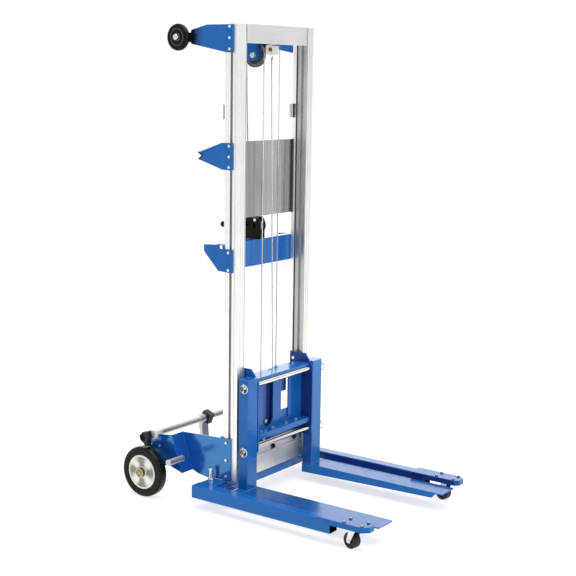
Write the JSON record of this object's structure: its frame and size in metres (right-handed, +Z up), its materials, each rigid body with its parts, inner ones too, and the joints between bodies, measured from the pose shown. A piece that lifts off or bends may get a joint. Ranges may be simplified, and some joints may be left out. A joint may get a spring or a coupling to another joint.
{
  "type": "winch lift truck",
  "caption": "Hand-winched lift truck: straddle base on wheels, telescoping aluminium mast and a carriage with a pair of forks, raised by a wire rope and crank.",
  "frame": {"origin": "floor point under the middle of the bounding box", "axes": "X across the truck, Y fore and aft with the forks pointing to -Y, Z up from the floor"},
  "size_m": [0.784, 1.132, 1.824],
  "materials": {
    "blue_paint": "glossy powder coat",
    "mast_aluminium": "satin anodised extrusion",
    "sheet_aluminium": "brushed mill sheet",
    "chrome": "hard chrome bar",
    "zinc": "bright zinc plate",
    "wire_rope": "stranded galvanised wire rope",
    "black_paint": "satin black enamel",
    "grey_steel": "bare turned bar",
    "cast_rim": "turned casting",
    "tyre": "smooth solid rubber",
    "black_rubber": "moulded rubber",
    "black_plastic": "moulded nylon",
    "white_plastic": "machined nylon",
    "cap_brass": "yellow passivated cap"
  },
  "bodies": {
    "base": {"legs": "blue_paint", "rear_cross_tube": "blue_paint", "caster_plates": "blue_paint", "caster_mounts": "zinc", "wheel_brackets": "blue_paint", "rear_axles": "grey_steel", "hub_caps": "cap_brass", "stop_bars": "grey_steel", "brake_bearings": "white_plastic", "outer_columns": "mast_aluminium", "outer_top_beam": "mast_aluminium", "top_brackets": "blue_paint", "load_wheel_arms": "black_paint", "mid_brackets": "blue_paint", "winch_brackets": "blue_paint", "winch_beam": "blue_paint", "rear_plate": "sheet_aluminium", "stop_pads": "black_rubber", "winch_frame": "black_paint", "upper_sheave_bracket": "blue_paint", "cable_anchor": "zinc", "hoist_cable": "wire_rope", "lift_cable": "wire_rope", "return_cable": "wire_rope", "frame_bolts": "zinc"},
    "inner_mast": {"inner_columns": "mast_aluminium", "inner_crossbar": "mast_aluminium", "inner_bottom_plate": "blue_paint", "mast_glides": "white_plastic", "lower_sheave_axle": "zinc", "carriage_cable": "wire_rope"},
    "carriage": {"carriage_sides": "blue_paint", "carriage_front_plate": "blue_paint", "carriage_lower_plate": "mast_aluminium", "slide_blocks": "white_plastic", "fork_rods": "chrome", "lynch_pins": "zinc", "fork_posts": "blue_paint", "fork_tines": "blue_paint", "carriage_bolts": "zinc"},
    "rear_wheel_right": {"rear_rim_right": "cast_rim", "rear_tyre_right": "tyre"},
    "rear_wheel_left": {"rear_rim_left": "cast_rim", "rear_tyre_left": "tyre"},
    "caster_swivel_right": {"caster_yoke_right": "zinc"},
    "caster_swivel_left": {"caster_yoke_left": "zinc"},
    "caster_roller_right": {"caster_wheel_right": "black_rubber"},
    "caster_roller_left": {"caster_wheel_left": "black_rubber"},
    "loading_wheel_right": {"load_wheel_right": "black_rubber"},
    "loading_wheel_left": {"load_wheel_left": "black_rubber"},
    "brake": {"brake_shaft": "grey_steel", "brake_blocks": "black_plastic", "brake_pedal": "zinc"},
    "sheave_upper": {"upper_sheave": "black_plastic"},
    "sheave_lower": {"lower_sheave": "black_plastic"},
    "sheave_top": {"top_sheave": "black_plastic"},
    "drum": {"winch_drum": "black_paint", "drum_cable": "wire_rope"},
    "crank_body": {"crank": "black_paint"},
    "grip": {"crank_grip": "black_plastic"}
  },
  "joints": [
    {"name": "mast_lift", "type": "slide", "parent": "base", "child": "inner_mast", "axis": [0, 0, 1], "range_m": [0, 1.2], "deforming": ["lift_cable", "return_cable"]},
    {"name": "carriage_lift", "type": "slide", "parent": "inner_mast", "child": "carriage", "axis": [0, 0, 1], "range_m": [0, 1.2], "deforming": ["carriage_cable"]},
    {"name": "rear_wheel_right_spin", "type": "hinge", "parent": "base", "child": "rear_wheel_right", "pos_m": [-0.3584, 0.466, 0.1], "axis": [1, 0, 0], "continuous": true},
    {"name": "caster_right_swivel", "type": "hinge", "parent": "base", "child": "caster_swivel_right", "pos_m": [-0.331, -0.502, 0.079], "axis": [0, 0, 1], "continuous": true},
    {"name": "caster_right_roll", "type": "hinge", "parent": "caster_swivel_right", "child": "caster_roller_right", "pos_m": [-0.32726, -0.48439, 0.03], "axis": [0.9781, -0.2079, 0], "continuous": true},
    {"name": "load_wheel_right_spin", "type": "hinge", "parent": "base", "child": "loading_wheel_right", "pos_m": [-0.2595, 0.377, 1.774], "axis": [1, 0, 0], "continuous": true},
    {"name": "rear_wheel_left_spin", "type": "hinge", "parent": "base", "child": "rear_wheel_left", "pos_m": [0.3584, 0.466, 0.1], "axis": [1, 0, 0], "continuous": true},
    {"name": "caster_left_swivel", "type": "hinge", "parent": "base", "child": "caster_swivel_left", "pos_m": [0.331, -0.502, 0.079], "axis": [0, 0, 1], "continuous": true},
    {"name": "caster_left_roll", "type": "hinge", "parent": "caster_swivel_left", "child": "caster_roller_left", "pos_m": [0.33474, -0.48439, 0.03], "axis": [0.9781, -0.2079, 0], "continuous": true},
    {"name": "load_wheel_left_spin", "type": "hinge", "parent": "base", "child": "loading_wheel_left", "pos_m": [0.2595, 0.377, 1.774], "axis": [1, 0, 0], "continuous": true},
    {"name": "brake_turn", "type": "hinge", "parent": "base", "child": "brake", "pos_m": [0, 0.466, 0.237], "axis": [1, 0, 0], "range_deg": [0, 14]},
    {"name": "upper_sheave_turn", "type": "hinge", "parent": "base", "child": "sheave_upper", "pos_m": [-0.028, 0.192, 1.713], "axis": [1, 0, 0], "range_deg": [-3278, 0]},
    {"name": "lower_sheave_turn", "type": "hinge", "parent": "inner_mast", "child": "sheave_lower", "pos_m": [0.0135, 0.15, 0.215], "axis": [0, 1, 0], "range_deg": [0, 1660]},
    {"name": "top_sheave_turn", "type": "hinge", "parent": "inner_mast", "child": "sheave_top", "pos_m": [0.038, 0.141, 1.788], "axis": [1, 0, 0], "range_deg": [-4587, 0]},
    {"name": "drum_turn", "type": "hinge", "parent": "base", "child": "drum", "pos_m": [0.004, 0.204, 1.06], "axis": [1, 0, 0], "range_deg": [-5212, 0]},
    {"name": "crank_turn", "type": "hinge", "parent": "base", "child": "crank_body", "pos_m": [-0.037, 0.2478, 1.064], "axis": [1, 0, 0], "range_deg": [0, 17713]},
    {"name": "grip_spin", "type": "hinge", "parent": "crank_body", "child": "grip", "pos_m": [-0.063, 0.3018, 1.064], "axis": [1, 0, 0], "continuous": true}
  ],
  "couplings": [
    {"joint": "carriage_lift", "follows": "mast_lift", "ratio": 1},
    {"joint": "upper_sheave_turn", "follows": "mast_lift", "rad_per_m": -47.619},
    {"joint": "lower_sheave_turn", "follows": "mast_lift", "rad_per_m": 24.096},
    {"joint": "top_sheave_turn", "follows": "mast_lift", "rad_per_m": -66.667},
    {"joint": "drum_turn", "follows": "mast_lift", "rad_per_m": -75.758},
    {"joint": "crank_turn", "follows": "mast_lift", "rad_per_m": 257.58}
  ]
}
